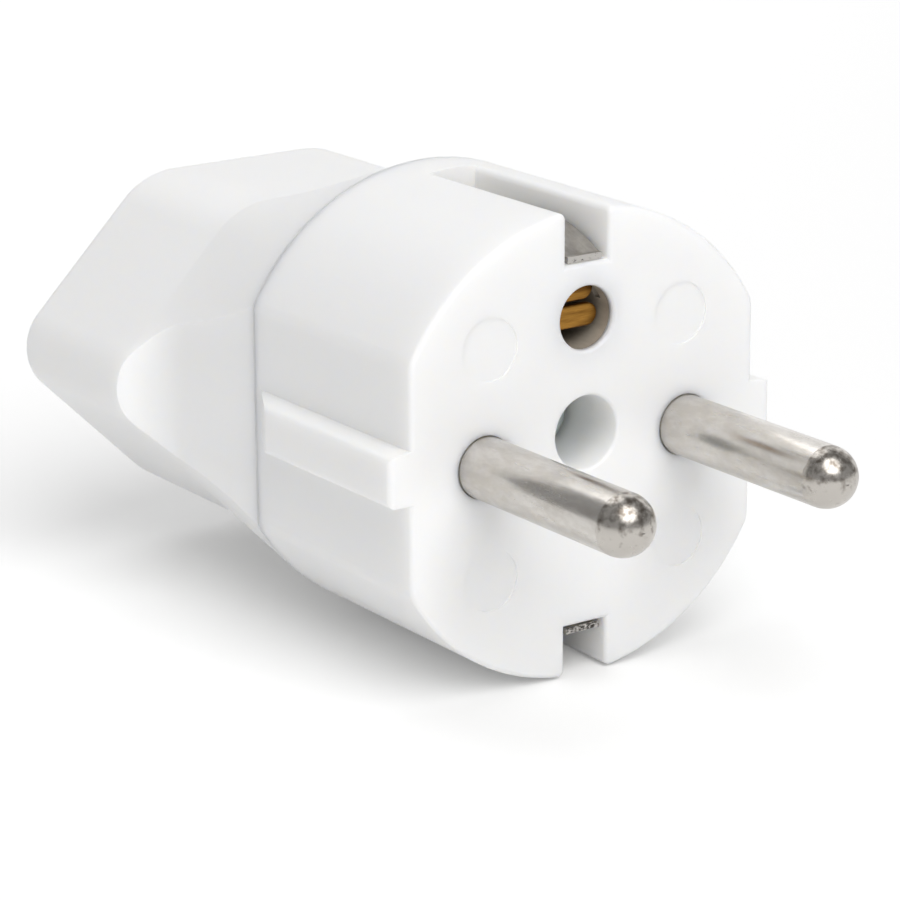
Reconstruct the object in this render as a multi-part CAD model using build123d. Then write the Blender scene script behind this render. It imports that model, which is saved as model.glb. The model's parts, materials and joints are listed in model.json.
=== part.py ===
from build123d import *
import math
import os

# Travel adapter: a round earthed plug with two pins in front, a hexagonal three-hole socket behind.
# Millimetres. The origin is on the plug's face, midway between the two pins.
# +Y runs from the plug's face to the socket, +Z is up and the pins point to -Y.

# Plug body
BODY_RADIUS = 18.5
FLAT_HALF_WIDTH = 16.2
FACE_EDGE_ROUND = 0.4
FLAT_EDGE_ROUND = 2.0
FACE_WALL = 3.0
SIDE_WALL = 2.2
SEAM_Y = 21.5
SEAM_GAP = 0.06
SEAM_DEPTH = 0.3
MARK_RADIUS = 2.45
MARK_OFFSET = 9.0
MARK_DEPTH = 0.12

# Guide ribs on the two flats
RIB_REACH = 18.1
RIB_TOP = 2.15
RIB_ROOT_TOP = 2.4
RIB_DROP = 1.75
RIB_LENGTH = 17.1
RIB_ROOT_LENGTH = 20.6
RIB_ROUND = 0.5

# Grooves for the side earth clips, at the top and the bottom
GROOVE_HALF_WIDTH = 2.0
GROOVE_FLOOR = 14.3
GROOVE_LENGTH = 17.3
GROOVE_WALL = 1.3
GROOVE_EDGE_ROUND = 0.5

# Pins
PIN_RADIUS = 2.4
PIN_SPACING = 19.0
PIN_LENGTH = 19.0
PIN_CLEARANCE = 0.07
PIN_SHANK_RADIUS = 2.2
PIN_COLLAR_RADIUS = 3.4
PIN_COLLAR_LENGTH = 2.0
PIN_SHOULDER_RADIUS = 3.0
PIN_NECK_RADIUS = 2.2
RIVET_RADIUS = 1.5
RIVET_HEAD_RADIUS = 1.95
RIVET_HEAD_LENGTH = 0.9

# Earth pin hole with its plated sleeve
EARTH_HOLE_Z = 10.0
EARTH_HOLE_RADIUS = 2.5
SLEEVE_WALL = 0.4
SLEEVE_LIP = 0.6
HOLE_ROUND = 0.25
FIT_CLEARANCE = 0.1

# Housing screw and the parts that it joins
SCREW_Z = 1.05
SCREW_WELL_RADIUS = 2.9
SCREW_WELL_DEPTH = 8.0
SCREW_WELL_WALL = 1.3
SCREW_SEAT = 2.0
SCREW_HEAD_RADIUS = 2.6
SCREW_HEAD_HEIGHT = 2.2
SCREW_RADIUS = 1.5
SCREW_LENGTH = 20.0
SCREW_HOLE_RADIUS = 1.75
PILLAR_RADIUS = 2.6

# Contact carrier, a moulded plate across the inside
CARRIER_FRONT = 12.0
CARRIER_THICKNESS = 4.0

# Earth plate and rivets
STRIP = 0.6
PLATE_THICKNESS = 1.0
PLATE_HALF_WIDTH = 5.0
PLATE_HALF_HEIGHT = 12.4
PLATE_CORNER = 1.5
EARTH_RIVET_RADIUS = 1.0
EARTH_RIVET_HEAD_RADIUS = 1.8
EARTH_RIVET_HEAD_HEIGHT = 0.55

# Side earth clips
CLIP_HALF_WIDTH = 1.6
CLIP_THICKNESS = 0.5
CLIP_START = 0.4
CLIP_LIP = 0.5
CLIP_TOP_LIFT = 0.05
CLIP_BOTTOM_LIFT = 0.25
CLIP_CREST_Y = 6.0
CLIP_CREST = 16.3
CLIP_END_Y = 14.0
CLIP_BEND = 0.6

# Spring tongues across the earth pin hole
TONGUE_Y = 1.6
TONGUE_THICKNESS = 0.5
TONGUE_EDGE_ROUND = 0.15
TONGUE_HEIGHT = 1.8
TONGUE_Z = 9.8
TONGUE_PITCH = 2.1
TONGUE_SIDE = 4.2
TONGUE_REACH = 2.1
UPPER_TONGUE_REACH = 1.7

# Hexagonal rear housing
HEX_HALF_HEIGHT = 13.7
HEX_TOP_HALF = 9.4
HEX_TOP_CORNER = 7.0
HEX_SIDE_CORNER = 4.3
HEX_START = 34.3
REAR_Y = 50.25
REAR_ROUND = 1.2
LIP_THICKNESS = 1.0

# Finger recesses in the sides of the rear housing, in plan
RECESS_KNEE_X = 17.5
RECESS_KNEE_Y = 30.4
RECESS_RIM_X = 21.6

# Three-hole socket with its hexagonal recess
SOCKET_DEPTH = 10.0
SOCKET_HALF_WIDTH = 18.0
SOCKET_HALF_HEIGHT = 8.8
SOCKET_CORNER = 0.8
SOCKET_FLOOR = 2.25
SOCKET_HOLE_RADIUS = 2.2
SOCKET_EARTH_DROP = 5.0
MOUTH_CHAMFER = 0.5
SOCKET_HOLE_CHAMFER = 0.4

# Socket contacts and their spring rings
TUBE_RADIUS = 2.25
TUBE_WALL = 0.45
TUBE_CLEARANCE = 1.0
FLANGE_RADIUS = 3.2
FLANGE_THICKNESS = 0.8
FINGER_LENGTH = 11.0
FINGER_SLOT = 0.6
RING_BACK = 1.5
RING_WIDTH = 2.5
RING_SEAT_DEPTH = 0.1
RING_THICKNESS = 0.45
RING_GAP = 1.0
RING_CLEARANCE = 0.03

# Walls between the contacts
PARTITION_X = 4.2
PARTITION_THICKNESS = 1.2
PARTITION_FRONT = 24.0

# Sizes that follow from the ones above
PIN_X = PIN_SPACING / 2
SOCKET_EARTH_Z = -SOCKET_EARTH_DROP
CARRIER_BACK = CARRIER_FRONT + CARRIER_THICKNESS
SLEEVE_RADIUS = EARTH_HOLE_RADIUS + SLEEVE_WALL
SOCKET_Y = REAR_Y - SOCKET_DEPTH
CAVITY_END = SOCKET_Y - SOCKET_FLOOR
TUBE_END = CAVITY_END - TUBE_CLEARANCE
TUBE_OUTER = TUBE_RADIUS + TUBE_WALL
PLATE_FRONT = CARRIER_BACK + 2 * STRIP
PLATE_BACK = PLATE_FRONT + PLATE_THICKNESS
FLANGE_BACK = CARRIER_BACK + FLANGE_THICKNESS
WELL_OUTER = SCREW_WELL_RADIUS + SCREW_WELL_WALL
SEAT_BACK = SCREW_WELL_DEPTH + SCREW_SEAT
CLIP_TAIL_Y = CARRIER_BACK + STRIP + STRIP / 2
HEX_APOTHEM = (HEX_TOP_HALF + HEX_HALF_HEIGHT) / math.sqrt(2)
FAR = 3 * BODY_RADIUS
OVERCUT = 1.0


def section(y):
    """Plane across the adapter at y, with local x to +X and local y to +Z."""
    return Plane(origin=(0, y, 0), x_dir=(1, 0, 0), z_dir=(0, -1, 0))


def prism(sketch, start, end):
    """Straight prism of a cross-section, from y = start to y = end."""
    return extrude(section(end) * sketch, amount=end - start)


def rod(radius, start, end, x=0, z=0):
    return prism(Pos(x, z) * Circle(radius), start, end)


def block(x_low, x_high, start, end, z_low, z_high):
    width = x_high - x_low
    height = z_high - z_low
    return prism(Pos(x_low + width / 2, z_low + height / 2) * Rectangle(width, height), start, end)


def both_sides(piece):
    return piece + mirror(piece, about=Plane.YZ)


def round_with_flats(inset):
    """The plug's cross-section, a circle cut by two upright flats with softened edges."""
    face = Circle(BODY_RADIUS - inset) & Rectangle(2 * (FLAT_HALF_WIDTH - inset), FAR)
    return fillet(face.vertices(), FLAT_EDGE_ROUND)


def rounded_hexagon(half_top, half_height, top_corner, side_corner):
    """Long hexagon with 45 degree sides, its corners rounded."""
    tip = half_top + half_height
    outline = Polyline(
        (half_top, half_height),
        (-half_top, half_height),
        (-tip, 0),
        (-half_top, -half_height),
        (half_top, -half_height),
        (tip, 0),
        close=True,
    )
    face = Sketch() + make_face(outline)
    tips = [corner for corner in face.vertices() if abs(corner.Y) < half_height / 2]
    face = fillet(tips, side_corner)
    tops = [corner for corner in face.vertices() if abs(corner.Y) > half_height - side_corner / 100]
    return fillet(tops, top_corner)


def body_hexagon(inset):
    half_height = HEX_HALF_HEIGHT - inset
    tip = (HEX_APOTHEM - inset) * math.sqrt(2)
    return rounded_hexagon(tip - half_height, half_height, HEX_TOP_CORNER - inset, HEX_SIDE_CORNER - inset)


def circle_in_arcs(radius, outline):
    """Circle cut into arcs at the same bearings as the corners of another outline."""
    bearings = sorted(math.degrees(math.atan2(corner.Y, corner.X)) for corner in outline.vertices())
    turns = [nxt - here for here, nxt in zip(bearings, bearings[1:] + [bearings[0] + 360])]
    arcs = [CenterArc((0, 0), radius, here, turn) for here, turn in zip(bearings, turns)]
    return make_face(arcs)


def neck_and_hexagon(inset, end):
    """Round neck at the seam that turns into the hexagon, then the hexagon straight back."""
    outline = body_hexagon(inset)
    circle = circle_in_arcs(BODY_RADIUS - inset, outline)
    neck = loft([section(SEAM_Y) * circle, section(HEX_START) * outline], ruled=True)
    return neck + prism(outline, HEX_START, end)


def finger_recess():
    """Space cut from one side, a flared flat that curves out to the hexagon's side."""
    flat = Line((FLAT_HALF_WIDTH, SEAM_Y), (RECESS_KNEE_X, RECESS_KNEE_Y))
    flare = (RECESS_KNEE_X - FLAT_HALF_WIDTH, RECESS_KNEE_Y - SEAM_Y)
    curve = TangentArc((RECESS_KNEE_X, RECESS_KNEE_Y), (RECESS_RIM_X, HEX_START), tangent=flare)
    outside = Polyline(
        (RECESS_RIM_X, HEX_START),
        (FAR, HEX_START),
        (FAR, SEAM_Y),
        (FLAT_HALF_WIDTH, SEAM_Y),
    )
    plan = make_face([*flat.edges(), *curve.edges(), *outside.edges()])
    return Pos(0, 0, -FAR / 2) * extrude(plan, amount=FAR)


def guide_rib():
    """Rib on a flat, sloped on top, with a slanted back end and rounded outer edges."""
    front = Polyline(
        (FLAT_HALF_WIDTH - SIDE_WALL / 2, RIB_ROOT_TOP),
        (FLAT_HALF_WIDTH, RIB_ROOT_TOP),
        (RIB_REACH, RIB_TOP),
        (RIB_REACH, -RIB_DROP),
        (FLAT_HALF_WIDTH - SIDE_WALL / 2, -RIB_DROP),
        close=True,
    )
    plan = Polyline(
        (0, 0),
        (RIB_REACH, 0),
        (RIB_REACH, RIB_LENGTH),
        (FLAT_HALF_WIDTH, RIB_ROOT_LENGTH),
        (0, RIB_ROOT_LENGTH),
        close=True,
    )
    bar = prism(make_face(front), 0, SEAM_Y)
    bar &= Pos(0, 0, -FAR / 2) * extrude(make_face(plan), amount=FAR)
    edge_round = min(RIB_ROUND, (RIB_REACH - FLAT_HALF_WIDTH) / 3)
    return fillet(bar.faces().sort_by(Axis.X)[-1].edges(), edge_round)


def grooved_section():
    """The plug's cross-section with the two clip grooves, their outer edges rounded."""
    face = round_with_flats(0)
    for z in (-FAR / 2 - GROOVE_FLOOR, FAR / 2 + GROOVE_FLOOR):
        face -= Pos(0, z) * Rectangle(2 * GROOVE_HALF_WIDTH, FAR)
    rims = [corner for corner in face.vertices() if math.hypot(corner.X, corner.Y) > BODY_RADIUS - GROOVE_EDGE_ROUND]
    return fillet([corner for corner in rims if abs(corner.X) < 2 * GROOVE_HALF_WIDTH], GROOVE_EDGE_ROUND)


def turned(points):
    """Solid of revolution about Y, from (radius, y) points."""
    return revolve(make_face(Polyline(*points, close=True)), axis=Axis.Y)


def mouth(body, radius):
    """Edge on the plug's face of a round hole of this radius."""
    rims = [edge for edge in body.edges().filter_by(GeomType.CIRCLE) if abs(edge.center().Y) < MARK_DEPTH / 2]
    return [edge for edge in rims if abs(edge.radius - radius) < MARK_DEPTH / 10]


def make_front_housing():
    body = prism(grooved_section(), 0, GROOVE_LENGTH)
    body = fillet(body.faces().sort_by(Axis.Y)[0].edges(), FACE_EDGE_ROUND)
    body += prism(round_with_flats(0), GROOVE_LENGTH, SEAM_Y)
    body += both_sides(guide_rib())
    body -= prism(round_with_flats(SIDE_WALL), FACE_WALL, SEAM_Y)
    lining_end = GROOVE_LENGTH + GROOVE_WALL
    lining_x = GROOVE_HALF_WIDTH + GROOVE_WALL
    inside = prism(round_with_flats(SIDE_WALL / 2), FACE_WALL / 2, lining_end)
    for low, high in ((GROOVE_FLOOR - GROOVE_WALL, FAR), (-FAR, GROOVE_WALL - GROOVE_FLOOR)):
        body += inside & block(-lining_x, lining_x, 0, lining_end, low, high)
    body += rod(WELL_OUTER, FACE_WALL / 2, SEAT_BACK, 0, SCREW_Z)
    for low, high in ((GROOVE_FLOOR, FAR), (-FAR, -GROOVE_FLOOR)):
        body -= block(-GROOVE_HALF_WIDTH, GROOVE_HALF_WIDTH, -OVERCUT, GROOVE_LENGTH, low, high)
    slot_x = CLIP_HALF_WIDTH + FIT_CLEARANCE
    slot_start = CLIP_TAIL_Y - CLIP_BEND
    slot_low = GROOVE_FLOOR - GROOVE_WALL
    slot_high = GROOVE_FLOOR + OVERCUT
    for low, high in ((slot_low, slot_high), (-slot_high, -slot_low)):
        body -= block(-slot_x, slot_x, slot_start, GROOVE_LENGTH, low, high)
    for x in (-PIN_X, PIN_X):
        body -= rod(PIN_RADIUS + PIN_CLEARANCE, -OVERCUT, FACE_WALL, x)
    body -= rod(EARTH_HOLE_RADIUS, -OVERCUT, FACE_WALL, 0, EARTH_HOLE_Z)
    body -= rod(SLEEVE_RADIUS + FIT_CLEARANCE, SLEEVE_LIP, FACE_WALL, 0, EARTH_HOLE_Z)
    low = TONGUE_Z - TONGUE_HEIGHT / 2 - FIT_CLEARANCE
    high = TONGUE_Z + TONGUE_PITCH + TONGUE_HEIGHT / 2 + FIT_CLEARANCE
    side = TONGUE_SIDE + TONGUE_THICKNESS + FIT_CLEARANCE
    body -= block(-side, 0, TONGUE_Y - FIT_CLEARANCE, FACE_WALL, low, high)
    body -= rod(SCREW_WELL_RADIUS, -OVERCUT, SCREW_WELL_DEPTH, 0, SCREW_Z)
    body -= rod(SCREW_HOLE_RADIUS, 0, SEAT_BACK, 0, SCREW_Z)
    for x in (-MARK_OFFSET, MARK_OFFSET):
        for z in (-MARK_OFFSET, MARK_OFFSET):
            body -= rod(MARK_RADIUS, 0, MARK_DEPTH, x, z)
    body = fillet(mouth(body, EARTH_HOLE_RADIUS) + mouth(body, SCREW_WELL_RADIUS), HOLE_ROUND)
    rebate = round_with_flats(-OVERCUT) - round_with_flats(SEAM_DEPTH)
    return body - prism(rebate, SEAM_Y - SEAM_GAP, SEAM_Y)


def make_rear_housing():
    body = neck_and_hexagon(0, REAR_Y)
    body = fillet(body.faces().sort_by(Axis.Y)[-1].edges(), REAR_ROUND)
    body -= both_sides(finger_recess())
    core = neck_and_hexagon(SIDE_WALL, CAVITY_END)
    inner = FLAT_HALF_WIDTH - SIDE_WALL
    body -= core & block(-inner, inner, SEAM_Y, CAVITY_END, -FAR, FAR)
    lip = round_with_flats(SIDE_WALL + FIT_CLEARANCE)
    lip -= round_with_flats(SIDE_WALL + FIT_CLEARANCE + LIP_THICKNESS)
    lip = prism(lip, CARRIER_BACK, SEAM_Y)
    notch = GROOVE_HALF_WIDTH + GROOVE_WALL + 2 * FIT_CLEARANCE
    lip -= block(-notch, notch, CARRIER_BACK, GROOVE_LENGTH + GROOVE_WALL + 2 * FIT_CLEARANCE, -FAR, FAR)
    lip += lip_root()
    for x in (-PIN_X, PIN_X):
        lip -= rod(FLANGE_RADIUS + FIT_CLEARANCE, CARRIER_BACK, SEAM_Y + LIP_THICKNESS, x)
    body += lip
    for side in (-1, 1):
        middle = side * PARTITION_X
        low = middle - PARTITION_THICKNESS / 2
        wall = block(low, low + PARTITION_THICKNESS, PARTITION_FRONT, CAVITY_END, -FAR, FAR)
        body += wall & core
    body += rod(PILLAR_RADIUS, SEAT_BACK + 2 * FIT_CLEARANCE, CAVITY_END, 0, SCREW_Z)
    body -= rod(SCREW_RADIUS, SEAT_BACK, SCREW_WELL_DEPTH + SCREW_LENGTH + OVERCUT, 0, SCREW_Z)
    top_half = SOCKET_HALF_WIDTH - SOCKET_HALF_HEIGHT
    recess = rounded_hexagon(top_half, SOCKET_HALF_HEIGHT, SOCKET_CORNER, SOCKET_CORNER)
    body -= prism(recess, SOCKET_Y, REAR_Y)
    body = chamfer(body.faces().sort_by(Axis.Y)[-1].inner_wires()[0].edges(), MOUTH_CHAMFER)
    lead_in = turned([
        (0, SOCKET_Y - SOCKET_HOLE_CHAMFER),
        (SOCKET_HOLE_RADIUS, SOCKET_Y - SOCKET_HOLE_CHAMFER),
        (SOCKET_HOLE_RADIUS + SOCKET_HOLE_CHAMFER, SOCKET_Y),
        (0, SOCKET_Y),
    ])
    for x, z in ((-PIN_X, 0), (PIN_X, 0), (0, SOCKET_EARTH_Z)):
        body -= rod(SOCKET_HOLE_RADIUS, CAVITY_END, SOCKET_Y, x, z)
        body -= Pos(x, 0, z) * lead_in
    return body


def lip_root():
    """Shoulder that joins the register lip to the wall of the neck."""
    ring = round_with_flats(SIDE_WALL / 2) - round_with_flats(SIDE_WALL + FIT_CLEARANCE + LIP_THICKNESS)
    return prism(ring, SEAM_Y, SEAM_Y + LIP_THICKNESS)


def make_carrier():
    body = prism(round_with_flats(SIDE_WALL + 2 * FIT_CLEARANCE), CARRIER_FRONT, CARRIER_BACK)
    notch = GROOVE_HALF_WIDTH + GROOVE_WALL + 2 * FIT_CLEARANCE
    deep = GROOVE_FLOOR - GROOVE_WALL - 2 * FIT_CLEARANCE
    for low, high in ((deep, FAR), (-FAR, -deep)):
        body -= block(-notch, notch, CARRIER_FRONT, CARRIER_BACK, low, high)
    for x in (-PIN_X, PIN_X):
        body -= rod(PIN_NECK_RADIUS + PIN_CLEARANCE, CARRIER_FRONT, CARRIER_BACK, x)
    body -= rod(PILLAR_RADIUS + 2 * FIT_CLEARANCE, CARRIER_FRONT, CARRIER_BACK, 0, SCREW_Z)
    sleeve = SLEEVE_RADIUS + FIT_CLEARANCE
    body -= rod(sleeve, CARRIER_FRONT, CARRIER_BACK, 0, EARTH_HOLE_Z)
    body -= block(-sleeve, sleeve, CARRIER_FRONT, CARRIER_BACK, EARTH_HOLE_Z, FAR)
    side = TONGUE_SIDE + TONGUE_THICKNESS + FIT_CLEARANCE
    low = TONGUE_Z - TONGUE_HEIGHT / 2 - FIT_CLEARANCE
    return body - block(-side, 0, CARRIER_FRONT, CARRIER_BACK, low, FAR)


def make_pin(x):
    tip_centre = PIN_RADIUS - PIN_LENGTH
    tip = CenterArc((0, tip_centre), PIN_RADIUS, -90, 90)
    side = Polyline(
        (PIN_RADIUS, tip_centre),
        (PIN_RADIUS, 0),
        (PIN_SHANK_RADIUS, 0),
        (PIN_SHANK_RADIUS, FACE_WALL),
        (PIN_COLLAR_RADIUS, FACE_WALL),
        (PIN_COLLAR_RADIUS, FACE_WALL + PIN_COLLAR_LENGTH),
        (PIN_SHOULDER_RADIUS, FACE_WALL + PIN_COLLAR_LENGTH),
        (PIN_SHOULDER_RADIUS, CARRIER_FRONT),
        (PIN_NECK_RADIUS, CARRIER_FRONT),
        (PIN_NECK_RADIUS, CARRIER_BACK),
        (RIVET_RADIUS, CARRIER_BACK),
        (RIVET_RADIUS, FLANGE_BACK),
        (RIVET_HEAD_RADIUS, FLANGE_BACK),
        (RIVET_HEAD_RADIUS, FLANGE_BACK + RIVET_HEAD_LENGTH / 2),
        (RIVET_RADIUS, FLANGE_BACK + RIVET_HEAD_LENGTH),
        (0, FLANGE_BACK + RIVET_HEAD_LENGTH),
        (0, -PIN_LENGTH),
    )
    profile = make_face([*tip.edges(), *side.edges()])
    return Pos(x, 0, 0) * revolve(profile, axis=Axis.Y)


def slotted_tube(start):
    """Contact tube with a ring seat, split from its mouth into four fingers."""
    seat_end = TUBE_END - RING_BACK
    seat_start = seat_end - RING_WIDTH
    tube = turned([
        (TUBE_RADIUS, start),
        (TUBE_OUTER, start),
        (TUBE_OUTER, seat_start),
        (TUBE_OUTER - RING_SEAT_DEPTH, seat_start),
        (TUBE_OUTER - RING_SEAT_DEPTH, seat_end),
        (TUBE_OUTER, seat_end),
        (TUBE_OUTER, TUBE_END),
        (TUBE_RADIUS, TUBE_END),
    ])
    half = FINGER_SLOT / 2
    slot = block(-FAR, FAR, TUBE_END - FINGER_LENGTH, TUBE_END, -half, half)
    slot += block(-half, half, TUBE_END - FINGER_LENGTH, TUBE_END, -FAR, FAR)
    return tube - slot


def make_pole_contact(x):
    flange = rod(FLANGE_RADIUS, CARRIER_BACK, FLANGE_BACK) - rod(RIVET_RADIUS, CARRIER_BACK, FLANGE_BACK)
    return Pos(x, 0, 0) * (flange + slotted_tube(FLANGE_BACK))


def make_earth_contact():
    """Socket earth contact, a tube on a foot that is riveted to the earth plate."""
    half = TUBE_OUTER
    foot_end = PLATE_BACK + FLANGE_THICKNESS
    foot = block(-half, half, PLATE_BACK, foot_end, -PLATE_HALF_HEIGHT, SOCKET_EARTH_Z + half)
    foot -= rod(EARTH_RIVET_RADIUS, PLATE_BACK, foot_end, 0, -EARTH_HOLE_Z)
    foot -= rod(TUBE_RADIUS, PLATE_BACK, foot_end, 0, SOCKET_EARTH_Z)
    return foot + Pos(0, 0, SOCKET_EARTH_Z) * slotted_tube(foot_end)


def make_spring_ring(x, z):
    end = TUBE_END - RING_BACK - RING_CLEARANCE
    start = end - RING_WIDTH + 2 * RING_CLEARANCE
    inner = TUBE_OUTER - RING_SEAT_DEPTH + RING_CLEARANCE
    ring = rod(inner + RING_THICKNESS, start, end) - rod(inner, start, end)
    ring -= block(0, FAR, start, end, -RING_GAP / 2, RING_GAP / 2)
    return Pos(x, 0, z) * ring


def make_earth_plate():
    half_height = PLATE_HALF_HEIGHT
    plate = RectangleRounded(2 * PLATE_HALF_WIDTH, 2 * half_height, PLATE_CORNER)
    plate -= Pos(0, SCREW_Z) * Circle(PILLAR_RADIUS + 3 * FIT_CLEARANCE)
    for z in (-EARTH_HOLE_Z, EARTH_HOLE_Z):
        plate -= Pos(0, z) * Circle(EARTH_RIVET_RADIUS)
    return prism(plate, PLATE_FRONT, PLATE_BACK)


def make_clip(lift):
    """Bowed strip in the top groove, its free end lifted, bent down behind the carrier to its rivet."""
    low = GROOVE_FLOOR + FIT_CLEARANCE / 2 + CLIP_THICKNESS / 2
    tip = GROOVE_FLOOR + lift + CLIP_THICKNESS / 2
    lip = Line((CLIP_START, tip), (CLIP_START + CLIP_LIP, tip))
    bow = Spline((CLIP_START + CLIP_LIP, tip), (CLIP_CREST_Y, CLIP_CREST), (CLIP_END_Y, low))
    tail = FilletPolyline(
        (CLIP_END_Y, low),
        (CLIP_TAIL_Y, low),
        (CLIP_TAIL_Y, EARTH_HOLE_Z - EARTH_RIVET_HEAD_RADIUS),
        radius=CLIP_BEND,
    )
    strip = trace([lip, bow, tail], CLIP_THICKNESS)
    side = Plane(origin=(-CLIP_HALF_WIDTH, 0, 0), x_dir=(0, 1, 0), z_dir=(1, 0, 0))
    body = extrude(side * strip, amount=2 * CLIP_HALF_WIDTH)
    return body - rod(EARTH_RIVET_RADIUS, CARRIER_BACK, PLATE_FRONT, 0, EARTH_HOLE_Z)


def make_sleeve():
    """Plated sleeve behind the earth pin hole, with a window for the tongues."""
    tube = rod(SLEEVE_RADIUS, SLEEVE_LIP, CARRIER_BACK, 0, EARTH_HOLE_Z)
    tube -= rod(EARTH_HOLE_RADIUS, SLEEVE_LIP, CARRIER_BACK, 0, EARTH_HOLE_Z)
    start = TONGUE_Y - FIT_CLEARANCE
    end = TONGUE_Y + TONGUE_THICKNESS + FIT_CLEARANCE
    low = TONGUE_Z - TONGUE_HEIGHT / 2 - FIT_CLEARANCE
    tube -= block(-FAR, 0, start, end, low, FAR)
    return tube - block(0, FAR, start, end, low + TONGUE_PITCH, FAR)


def make_tongues():
    """Brass fork that crosses the sleeve, carried back along it and riveted behind the carrier."""
    low = TONGUE_Z - TONGUE_HEIGHT / 2
    high = low + TONGUE_PITCH + TONGUE_HEIGHT
    outer = -TONGUE_SIDE - TONGUE_THICKNESS
    foot_low = EARTH_HOLE_Z - EARTH_RIVET_HEAD_RADIUS
    body = block(outer, -TONGUE_SIDE, TONGUE_Y, CARRIER_BACK + STRIP, low, high)
    body += block(outer, 2 * EARTH_RIVET_RADIUS, CARRIER_BACK, CARRIER_BACK + STRIP, foot_low, high)
    half = TONGUE_HEIGHT / 2
    end = TONGUE_Y + TONGUE_THICKNESS
    for z, reach in ((TONGUE_Z, TONGUE_REACH), (TONGUE_Z + TONGUE_PITCH, UPPER_TONGUE_REACH)):
        tongue = block(outer, reach - half, TONGUE_Y, end, z - half, z + half)
        tongue += rod(half, TONGUE_Y, end, reach - half, z)
        body += fillet(tongue.faces().sort_by(Axis.Y)[0].edges(), TONGUE_EDGE_ROUND)
    return body - rod(EARTH_RIVET_RADIUS, CARRIER_BACK, CARRIER_BACK + STRIP, 0, EARTH_HOLE_Z)


def make_earth_rivet(front, back, z):
    rivet = turned([
        (0, front - EARTH_RIVET_HEAD_HEIGHT),
        (EARTH_RIVET_RADIUS, front - EARTH_RIVET_HEAD_HEIGHT),
        (EARTH_RIVET_HEAD_RADIUS, front),
        (EARTH_RIVET_RADIUS, front),
        (EARTH_RIVET_RADIUS, back),
        (EARTH_RIVET_HEAD_RADIUS, back),
        (EARTH_RIVET_RADIUS, back + EARTH_RIVET_HEAD_HEIGHT),
        (0, back + EARTH_RIVET_HEAD_HEIGHT),
    ])
    return Pos(0, 0, z) * rivet


def make_screw():
    head = SCREW_WELL_DEPTH - SCREW_HEAD_HEIGHT
    screw = rod(SCREW_HEAD_RADIUS, head, SCREW_WELL_DEPTH)
    screw = fillet(screw.faces().sort_by(Axis.Y)[0].edges(), SCREW_HEAD_HEIGHT / 4)
    screw += rod(SCREW_RADIUS, SCREW_WELL_DEPTH, SCREW_WELL_DEPTH + SCREW_LENGTH)
    width = SCREW_HEAD_RADIUS / 4
    deep = head + SCREW_HEAD_HEIGHT / 2
    arm = SCREW_HEAD_RADIUS * 0.6
    screw -= block(-arm, arm, head, deep, -width, width)
    screw -= block(-width, width, head, deep, -arm, arm)
    return Pos(0, 0, SCREW_Z) * screw


nodes = {
    "front_housing": make_front_housing(),
    "rear_housing": make_rear_housing(),
    "contact_carrier": make_carrier(),
    "line_pin": make_pin(-PIN_X),
    "neutral_pin": make_pin(PIN_X),
    "line_contact": make_pole_contact(-PIN_X),
    "neutral_contact": make_pole_contact(PIN_X),
    "earth_contact": make_earth_contact(),
    "line_spring_ring": make_spring_ring(-PIN_X, 0),
    "neutral_spring_ring": make_spring_ring(PIN_X, 0),
    "earth_spring_ring": make_spring_ring(0, SOCKET_EARTH_Z),
    "earth_plate": make_earth_plate(),
    "earth_clip_top": make_clip(CLIP_TOP_LIFT),
    "earth_clip_bottom": mirror(make_clip(CLIP_BOTTOM_LIFT), about=Plane.XY),
    "earth_sleeve": make_sleeve(),
    "earth_tongues": make_tongues(),
    "earth_rivet_top": make_earth_rivet(CARRIER_BACK, PLATE_BACK, EARTH_HOLE_Z),
    "earth_rivet_bottom": make_earth_rivet(CARRIER_BACK + STRIP, PLATE_BACK + FLANGE_THICKNESS, -EARTH_HOLE_Z),
    "housing_screw": make_screw(),
}

os.makedirs("parts", exist_ok=True)
for name, solid in nodes.items():
    export_step(solid, f"parts/{name}.step")
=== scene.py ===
import json
import math

import bpy
from mathutils import Matrix, Vector


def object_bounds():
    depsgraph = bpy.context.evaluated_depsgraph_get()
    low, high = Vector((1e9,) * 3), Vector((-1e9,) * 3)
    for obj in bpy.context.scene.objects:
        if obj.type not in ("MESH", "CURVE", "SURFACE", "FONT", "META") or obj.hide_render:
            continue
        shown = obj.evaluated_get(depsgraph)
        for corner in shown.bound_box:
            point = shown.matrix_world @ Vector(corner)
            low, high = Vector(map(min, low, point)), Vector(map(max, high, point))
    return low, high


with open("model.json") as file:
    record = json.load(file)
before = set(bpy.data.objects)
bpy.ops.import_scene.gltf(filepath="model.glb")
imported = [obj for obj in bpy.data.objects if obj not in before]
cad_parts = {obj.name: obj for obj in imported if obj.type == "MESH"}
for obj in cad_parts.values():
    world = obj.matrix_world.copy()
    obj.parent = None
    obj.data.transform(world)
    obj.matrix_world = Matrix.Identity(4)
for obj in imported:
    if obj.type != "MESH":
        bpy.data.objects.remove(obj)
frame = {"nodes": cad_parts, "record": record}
nodes = frame["nodes"]
cad_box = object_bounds()

# Camera at the photograph's angle: degrees, metres, and millimetres for the lens and sensor
CAMERA_AT = (-0.15221, -0.19846, 0.07668)
CAMERA_AZIMUTH = -35.103
CAMERA_ELEVATION = 17.119
CAMERA_ROLL = -0.317
CAMERA_LENS = 137.645
CAMERA_NEAR = 0.01
CAMERA_FAR = 20.0
SENSOR = 36.0

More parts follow.
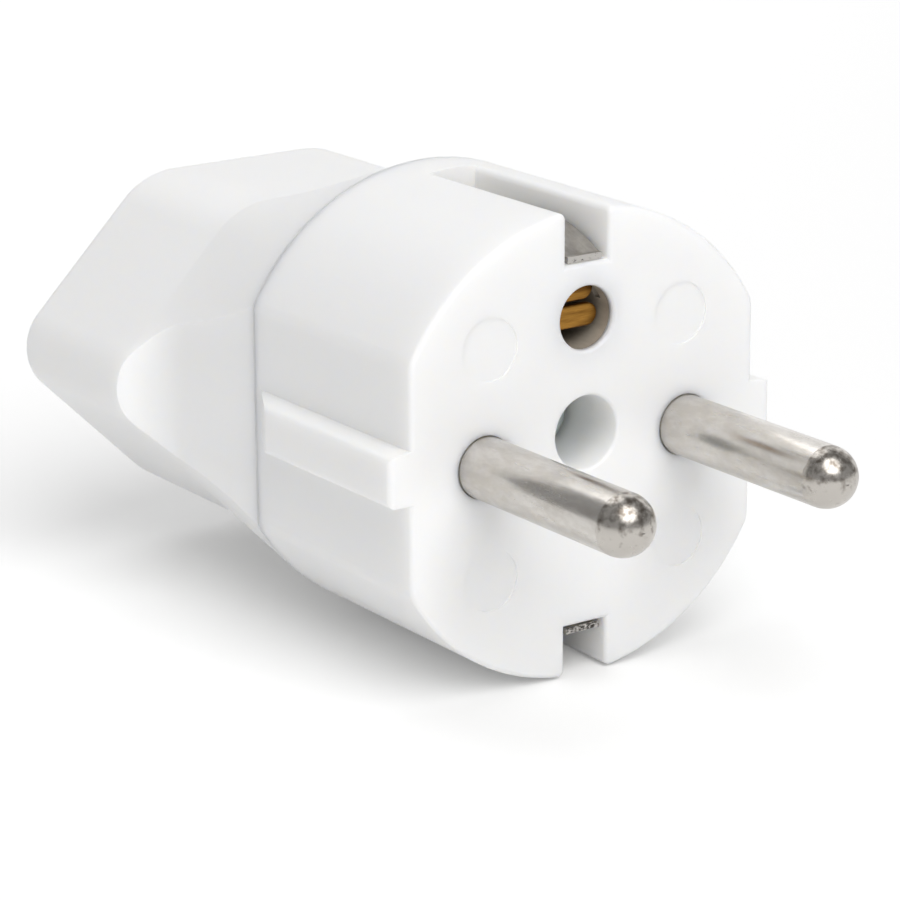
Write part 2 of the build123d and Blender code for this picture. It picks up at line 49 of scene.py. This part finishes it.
# Colours, linear
WHITE = (1, 1, 1, 1)
HOUSING_WHITE = (0.955, 0.956, 0.945, 1)
HOUSING_SHADE = (0.935, 0.937, 0.925, 1)
CARRIER_GREY = (0.66, 0.66, 0.63, 1)
CARRIER_SHADE = (0.6, 0.6, 0.57, 1)
NICKEL = (0.69, 0.665, 0.63, 1)
NICKEL_STAIN = (0.56, 0.53, 0.49, 1)
TIP_NICKEL = (0.58, 0.55, 0.51, 1)
# Dark colour of the pin tips: a mottled stain, and the painted reflection that darkens their upper half
TIP_STAIN_AND_PAINTED_REFLECTION = (0.19, 0.165, 0.14, 1)
STRIP_GREY = (0.56, 0.54, 0.51, 1)
STRIP_STAIN = (0.36, 0.33, 0.3, 1)
SHEARED_STAIN = (0.05, 0.045, 0.04, 1)
SLEEVE_GREY = (0.47, 0.42, 0.35, 1)
SLEEVE_STAIN = (0.37, 0.325, 0.265, 1)
BRASS = (0.56, 0.29, 0.06, 1)
BRASS_STAIN = (0.14, 0.06, 0.012, 1)
STEEL = (0.36, 0.36, 0.37, 1)
STEEL_STAIN = (0.28, 0.27, 0.27, 1)
ZINC = (0.76, 0.82, 0.79, 1)
ZINC_STAIN = (0.62, 0.69, 0.66, 1)
STAGE_WHITE = (0.94, 0.94, 0.94, 1)

# Light scattered under the plastic's surface: share of each colour, and how deep in metres
SCATTER_COLOURS = (1.0, 0.95, 0.85)
SCATTER_DEPTH = 0.0015
PLASTIC_IOR = 1.5

# Stretch of object coordinates for a metal's grain: a small factor draws the grain out along that axis
ALONG_X = (0.1, 1, 1)
ALONG_Y = (1, 0.25, 1)
PIN_CLOUD = (1, 0.4, 1)
PIN_SCRATCH = (1, 0.12, 1)
TORN_GRAIN = (1, 1, 1.6)

# The pins' round ends, in metres: where they start along Y, and where in Z the painted reflection that
# darkens their upper half begins and is full
TIP_START = -0.0166
TIP_BLEND = 0.0001
TIP_ROUGH = 0.26
TIP_PAINTED_REFLECTION_START_Z = -0.0012
TIP_PAINTED_REFLECTION_FULL_Z = 0.0012
TIP_PAINTED_REFLECTION_SHIFT = 0.22

# The clips' sheared front ends: Y of the normal where they begin, and Z in metres from torn to cleaner
END_TURN = -0.9
END_FLAT = -0.98
END_LOW = -0.012
END_HIGH = 0.012
END_CLEAN_SHIFT = 0.15

# Lamps: name, place and size in metres, power in watts, and whether metal mirrors it
LAMPS = (
    ("softbox", (-0.077, -0.42, 0.553), 0.72, 3.8, True),
    ("overhead", (0.05, 0.45, 0.7), 0.6, 1.15, True),
    ("front_left", (-0.58, -0.48, 0.18), 0.5, 0.5, False),
)
LAMP_TARGET = (0, 0.01, 0)
WORLD_STRENGTH = 0.32

# The floor is lifted to white where it is seen: near the adapter, behind it from LIFT_START to LIFT_END
# in metres, and far off on all sides. It is lifted a little less where it is mirrored
FLOOR_SIZE = 6.0
LIFT_NEAR = 0.14
LIFT_BEHIND = 0.46
LIFT_START = 0.02
LIFT_END = 0.4
LIFT_FAR = 0.6
LIFT_FAR_START = 0.4
LIFT_FAR_END = 1.3
LIFT_MIRRORED = -0.11

# Backdrop behind the adapter as the camera sees it, mirrored by metal and gloss alone, in metres
BACKDROP_OFF = 1.2
BACKDROP_WIDTH = 3.0
BACKDROP_HEIGHT = 1.4
BACKDROP_LIFT = 0.62

# Sockets of a colour mix node, which share their names with those of its other kinds
MIX_SHARE = 0
MIX_FIRST = 6
MIX_SECOND = 7
MIX_RESULT = 2


def link(tree, source, target):
    tree.links.new(source, target)


def new_material(name):
    material = bpy.data.materials.new(name)
    material.use_nodes = True
    tree = material.node_tree
    shader = tree.nodes["Principled BSDF"]
    return material, tree, shader


def object_place(tree, scale=(1, 1, 1)):
    """Object coordinates in metres, stretched by scale."""
    place = tree.nodes.new("ShaderNodeTexCoord")
    mapping = tree.nodes.new("ShaderNodeMapping")
    mapping.inputs["Scale"].default_value = scale
    link(tree, place.outputs["Object"], mapping.inputs["Vector"])
    return mapping.outputs["Vector"]


def noise(tree, place, scale, detail, roughness=0.6):
    texture = tree.nodes.new("ShaderNodeTexNoise")
    texture.inputs["Scale"].default_value = scale
    texture.inputs["Detail"].default_value = detail
    texture.inputs["Roughness"].default_value = roughness
    link(tree, place, texture.inputs["Vector"])
    return texture.outputs["Fac"]


def ramp(tree, value, low, high, low_colour, high_colour):
    """Colour that goes from low_colour at low to high_colour at high."""
    node = tree.nodes.new("ShaderNodeValToRGB")
    node.color_ramp.elements[0].position = low
    node.color_ramp.elements[1].position = high
    node.color_ramp.elements[0].color = low_colour
    node.color_ramp.elements[1].color = high_colour
    link(tree, value, node.inputs["Fac"])
    return node.outputs["Color"]


def span(tree, value, low, high):
    """Number that goes from low to high as value goes from 0 to 1."""
    node = tree.nodes.new("ShaderNodeMapRange")
    node.inputs["To Min"].default_value = low
    node.inputs["To Max"].default_value = high
    link(tree, value, node.inputs["Value"])
    return node.outputs["Result"]


def ranged(tree, value, start, end, high=1.0):
    """0 where value is before start, and high where it is past end."""
    node = tree.nodes.new("ShaderNodeMapRange")
    node.inputs["From Min"].default_value = start
    node.inputs["From Max"].default_value = end
    node.inputs["To Max"].default_value = high
    link(tree, value, node.inputs["Value"])
    return node.outputs["Result"]


def bump(tree, height, strength, distance, before=None):
    """Normal bent by a relief of height, on top of the relief before it."""
    node = tree.nodes.new("ShaderNodeBump")
    node.inputs["Strength"].default_value = strength
    node.inputs["Distance"].default_value = distance
    link(tree, height, node.inputs["Height"])
    if before is not None:
        link(tree, before, node.inputs["Normal"])
    return node.outputs["Normal"]


def blend(tree, share, first, second):
    """Colour that goes from first to second as share goes from 0 to 1."""
    node = tree.nodes.new("ShaderNodeMix")
    node.data_type = "RGBA"
    link(tree, share, node.inputs[MIX_SHARE])
    link(tree, first, node.inputs[MIX_FIRST])
    link(tree, second, node.inputs[MIX_SECOND])
    return node.outputs[MIX_RESULT]


def math_node(tree, operation, first, second):
    node = tree.nodes.new("ShaderNodeMath")
    node.operation = operation
    link(tree, first, node.inputs[0])
    link(tree, second, node.inputs[1])
    return node.outputs["Value"]


def axis_of(tree, vector, axis):
    parts = tree.nodes.new("ShaderNodeSeparateXYZ")
    link(tree, vector, parts.inputs["Vector"])
    return parts.outputs[axis]


def along(tree, axis, start, end, high=1.0):
    """0 before start and high past end, along one of the object's own axes."""
    return ranged(tree, axis_of(tree, object_place(tree), axis), start, end, high)


def plastic(name, light, shade):
    """Moulded plastic: fine eroded texture, soft flow marks, slight change in tone and gloss."""
    material, tree, shader = new_material(name)
    place = object_place(tree)
    cloud = noise(tree, place, scale=60.0, detail=3.0)
    link(tree, ramp(tree, cloud, 0.3, 0.7, shade, light), shader.inputs["Base Color"])
    gloss = noise(tree, place, scale=900.0, detail=2.0)
    link(tree, span(tree, gloss, 0.34, 0.46), shader.inputs["Roughness"])
    grain = noise(tree, place, scale=9000.0, detail=2.0)
    relief = bump(tree, grain, strength=0.1, distance=0.00003)
    flow = noise(tree, place, scale=120.0, detail=1.0)
    relief = bump(tree, flow, strength=0.25, distance=0.00004, before=relief)
    link(tree, relief, shader.inputs["Normal"])
    shader.inputs["IOR"].default_value = PLASTIC_IOR
    shader.inputs["Subsurface Weight"].default_value = 1.0
    shader.inputs["Subsurface Radius"].default_value = SCATTER_COLOURS
    shader.inputs["Subsurface Scale"].default_value = SCATTER_DEPTH
    return material


def metal(name, light, stain, rough, grain, scratch, metallic=1.0):
    """Metal with a grain drawn out along one axis, cloudy stains and small changes in gloss.

    rough is the range of its roughness, grain the stretch of its coordinates, and scratch how strong
    its relief is.
    """
    material, tree, shader = new_material(name)
    place = object_place(tree)
    drawn = object_place(tree, grain)
    cloud = noise(tree, drawn, scale=700.0, detail=6.0, roughness=0.7)
    link(tree, ramp(tree, cloud, 0.38, 0.66, stain, light), shader.inputs["Base Color"])
    gloss = noise(tree, drawn, scale=1500.0, detail=3.0)
    link(tree, span(tree, gloss, *rough), shader.inputs["Roughness"])
    dents = noise(tree, place, scale=900.0, detail=2.0)
    relief = bump(tree, dents, scratch, distance=0.00001)
    lines = noise(tree, drawn, scale=3500.0, detail=3.0)
    relief = bump(tree, lines, scratch, distance=0.00001, before=relief)
    link(tree, relief, shader.inputs["Normal"])
    shader.inputs["Metallic"].default_value = metallic
    return material


def clip_strip():
    """Dull plating, with the bare core dark and torn where the strip was sheared off in front."""
    material = metal("plated_strip", STRIP_GREY, STRIP_STAIN, (0.28, 0.42), ALONG_Y, 0.3)
    tree = material.node_tree
    shader = tree.nodes["Principled BSDF"]
    plating = shader.inputs["Base Color"].links[0].from_socket
    coordinates = tree.nodes.new("ShaderNodeTexCoord")
    end = ranged(tree, axis_of(tree, coordinates.outputs["Normal"], "Y"), END_TURN, END_FLAT)
    rough = noise(tree, object_place(tree, TORN_GRAIN), scale=2600.0, detail=4.0, roughness=0.7)
    tear = math_node(tree, "ADD", rough, along(tree, "Z", END_LOW, END_HIGH, END_CLEAN_SHIFT))
    torn = ramp(tree, tear, 0.46, 0.57, SHEARED_STAIN, STRIP_GREY)
    link(tree, blend(tree, end, plating, torn), shader.inputs["Base Color"])
    return material


def pin_nickel():
    """Nickel plating: clouded and finely scratched along the shaft, with mottled stain on the turned tip
    and a painted reflection that darkens the tip's upper half.
    """
    material, tree, shader = new_material("nickel")
    place = object_place(tree)
    drawn = object_place(tree, PIN_SCRATCH)
    cloud = noise(tree, object_place(tree, PIN_CLOUD), scale=650.0, detail=8.0, roughness=0.75)
    shaft_colour = ramp(tree, cloud, 0.4, 0.62, NICKEL_STAIN, NICKEL)
    mottle = noise(tree, place, scale=1700.0, detail=4.0, roughness=0.55)
    # Painted reflection: the tip is drawn darker towards its top, in place of the dark surroundings it
    # mirrors
    dark = along(tree, "Z", TIP_PAINTED_REFLECTION_START_Z, TIP_PAINTED_REFLECTION_FULL_Z, TIP_PAINTED_REFLECTION_SHIFT)
    tip_colour = ramp(tree, math_node(tree, "SUBTRACT", mottle, dark), 0.13, 0.38, TIP_STAIN_AND_PAINTED_REFLECTION, TIP_NICKEL)
    tip = along(tree, "Y", TIP_START + TIP_BLEND, TIP_START)
    link(tree, blend(tree, tip, shaft_colour, tip_colour), shader.inputs["Base Color"])
    satin = span(tree, noise(tree, drawn, scale=2200.0, detail=4.0), 0.16, 0.34)
    turned = along(tree, "Y", TIP_START, TIP_START - TIP_BLEND, TIP_ROUGH)
    link(tree, math_node(tree, "MAXIMUM", satin, turned), shader.inputs["Roughness"])
    dents = noise(tree, place, scale=1100.0, detail=4.0)
    relief = bump(tree, dents, strength=0.3, distance=0.000012)
    lines = noise(tree, drawn, scale=6000.0, detail=4.0)
    relief = bump(tree, lines, strength=0.4, distance=0.00001, before=relief)
    link(tree, relief, shader.inputs["Normal"])
    shader.inputs["Metallic"].default_value = 1.0
    return material


def make_materials():
    """One material for each material slot of the record."""
    return {
        "white_housing": plastic("white_plastic", HOUSING_WHITE, HOUSING_SHADE),
        "carrier_plastic": plastic("carrier_polyamide", CARRIER_GREY, CARRIER_SHADE),
        "nickel_pin": pin_nickel(),
        "plated_strip": clip_strip(),
        "dull_sleeve": metal(
            "dull_sleeve", SLEEVE_GREY, SLEEVE_STAIN, (0.5, 0.65), ALONG_Y, 0.3, metallic=0.15
        ),
        "bare_brass": metal("brass", BRASS, BRASS_STAIN, (0.2, 0.42), ALONG_X, 0.6),
        "spring_steel": metal("spring_steel", STEEL, STEEL_STAIN, (0.3, 0.4), ALONG_X, 0.2),
        "zinc_screw": metal("zinc", ZINC, ZINC_STAIN, (0.3, 0.45), ALONG_X, 0.25),
    }


def dress_nodes():
    made = make_materials()
    slots = {part["node"]: part["material_slot"] for part in frame["record"]["subparts"]}
    for name, piece in nodes.items():
        material = made[slots[name]]
        if not piece.data.materials:
            piece.data.materials.append(material)
        for index in range(len(piece.data.materials)):
            piece.data.materials[index] = material


def seen_ray(tree):
    """1 where the surface is seen, straight, in a mirror or through glass."""
    path = tree.nodes.new("ShaderNodeLightPath")
    mirrored = math_node(
        tree, "MAXIMUM", path.outputs["Is Glossy Ray"], path.outputs["Is Transmission Ray"]
    )
    return math_node(tree, "MAXIMUM", path.outputs["Is Camera Ray"], mirrored)


def stage_plane(name, lift):
    """Pale matt plane of 1 x 1 m, raised to white where it is seen by the emission that lift gives."""
    bpy.ops.mesh.primitive_plane_add(size=1.0)
    plane = bpy.context.object
    plane.name = name
    material, tree, shader = new_material(name)
    shader.inputs["Base Color"].default_value = STAGE_WHITE
    shader.inputs["Roughness"].default_value = 0.8
    shader.inputs["Specular IOR Level"].default_value = 0.0
    shader.inputs["Emission Color"].default_value = WHITE
    link(tree, lift(tree, seen_ray(tree)), shader.inputs["Emission Strength"])
    plane.data.materials.append(material)
    return plane


def floor_lift(tree, seen):
    """Emission of the floor: more behind the adapter, and more far off.

    Object coordinates leave out the plane's scale, so they are stretched to metres here.
    """
    place = object_place(tree, (FLOOR_SIZE, FLOOR_SIZE, 1))
    depth = ranged(tree, axis_of(tree, place, "Y"), LIFT_START, LIFT_END)
    behind = span(tree, depth, LIFT_NEAR, LIFT_BEHIND)
    away = tree.nodes.new("ShaderNodeVectorMath")
    away.operation = "LENGTH"
    link(tree, place, away.inputs[0])
    far = ranged(tree, away.outputs["Value"], LIFT_FAR_START, LIFT_FAR_END, LIFT_FAR)
    path = tree.nodes.new("ShaderNodeLightPath")
    mirrored = span(tree, path.outputs["Is Camera Ray"], LIFT_MIRRORED, 0.0)
    lift = math_node(tree, "ADD", math_node(tree, "ADD", behind, far), mirrored)
    return math_node(tree, "MULTIPLY", seen, lift)


def backdrop_lift(tree, seen):
    return span(tree, seen, 0.0, BACKDROP_LIFT)


def make_stage(height):
    """Floor at height, and the backdrop that stands on it."""
    floor = stage_plane("floor", floor_lift)
    floor.location = (0, 0, height)
    floor.scale = (FLOOR_SIZE, FLOOR_SIZE, 1)
    azimuth = math.radians(CAMERA_AZIMUTH)
    backdrop = stage_plane("backdrop", backdrop_lift)
    backdrop.location = (
        -BACKDROP_OFF * math.sin(azimuth),
        BACKDROP_OFF * math.cos(azimuth),
        height + BACKDROP_HEIGHT / 2,
    )
    backdrop.rotation_euler = (math.pi / 2, 0, azimuth)
    backdrop.scale = (BACKDROP_WIDTH, BACKDROP_HEIGHT, 1)
    backdrop.visible_diffuse = False
    backdrop.visible_shadow = False


def make_world():
    world = bpy.data.worlds.new("studio")
    bpy.context.scene.world = world
    world.use_nodes = True
    background = world.node_tree.nodes["Background"]
    background.inputs["Color"].default_value = WHITE
    background.inputs["Strength"].default_value = WORLD_STRENGTH


def make_lamps():
    for name, place, size, power, mirrored in LAMPS:
        data = bpy.data.lights.new(name, "AREA")
        data.shape = "DISK"
        data.size = size
        data.energy = power
        lamp = bpy.data.objects.new(name, data)
        bpy.context.scene.collection.objects.link(lamp)
        lamp.location = place
        lamp.rotation_mode = "QUATERNION"
        lamp.rotation_quaternion = (Vector(LAMP_TARGET) - Vector(place)).to_track_quat("-Z", "Y")
        lamp.visible_glossy = mirrored


def make_camera():
    azimuth = math.radians(CAMERA_AZIMUTH)
    elevation = math.radians(CAMERA_ELEVATION)
    roll = math.radians(CAMERA_ROLL)
    back = Vector((
        math.sin(azimuth) * math.cos(elevation),
        -math.cos(azimuth) * math.cos(elevation),
        math.sin(elevation),
    ))
    right = Vector((math.cos(azimuth), math.sin(azimuth), 0))
    up = back.cross(right)
    turned_right = right * math.cos(roll) + up * math.sin(roll)
    turned_up = up * math.cos(roll) - right * math.sin(roll)
    data = bpy.data.cameras.new("camera")
    data.sensor_width = SENSOR
    data.lens = CAMERA_LENS
    data.clip_start = CAMERA_NEAR
    data.clip_end = CAMERA_FAR
    camera = bpy.data.objects.new("camera", data)
    bpy.context.scene.collection.objects.link(camera)
    turn = Matrix((turned_right, turned_up, back)).transposed()
    camera.matrix_world = Matrix.Translation(CAMERA_AT) @ turn.to_4x4()
    bpy.context.scene.camera = camera


make_camera()
dress_nodes()
make_stage(cad_box[0].z)
make_world()
make_lamps()
bpy.context.scene.view_settings.view_transform = "Standard"
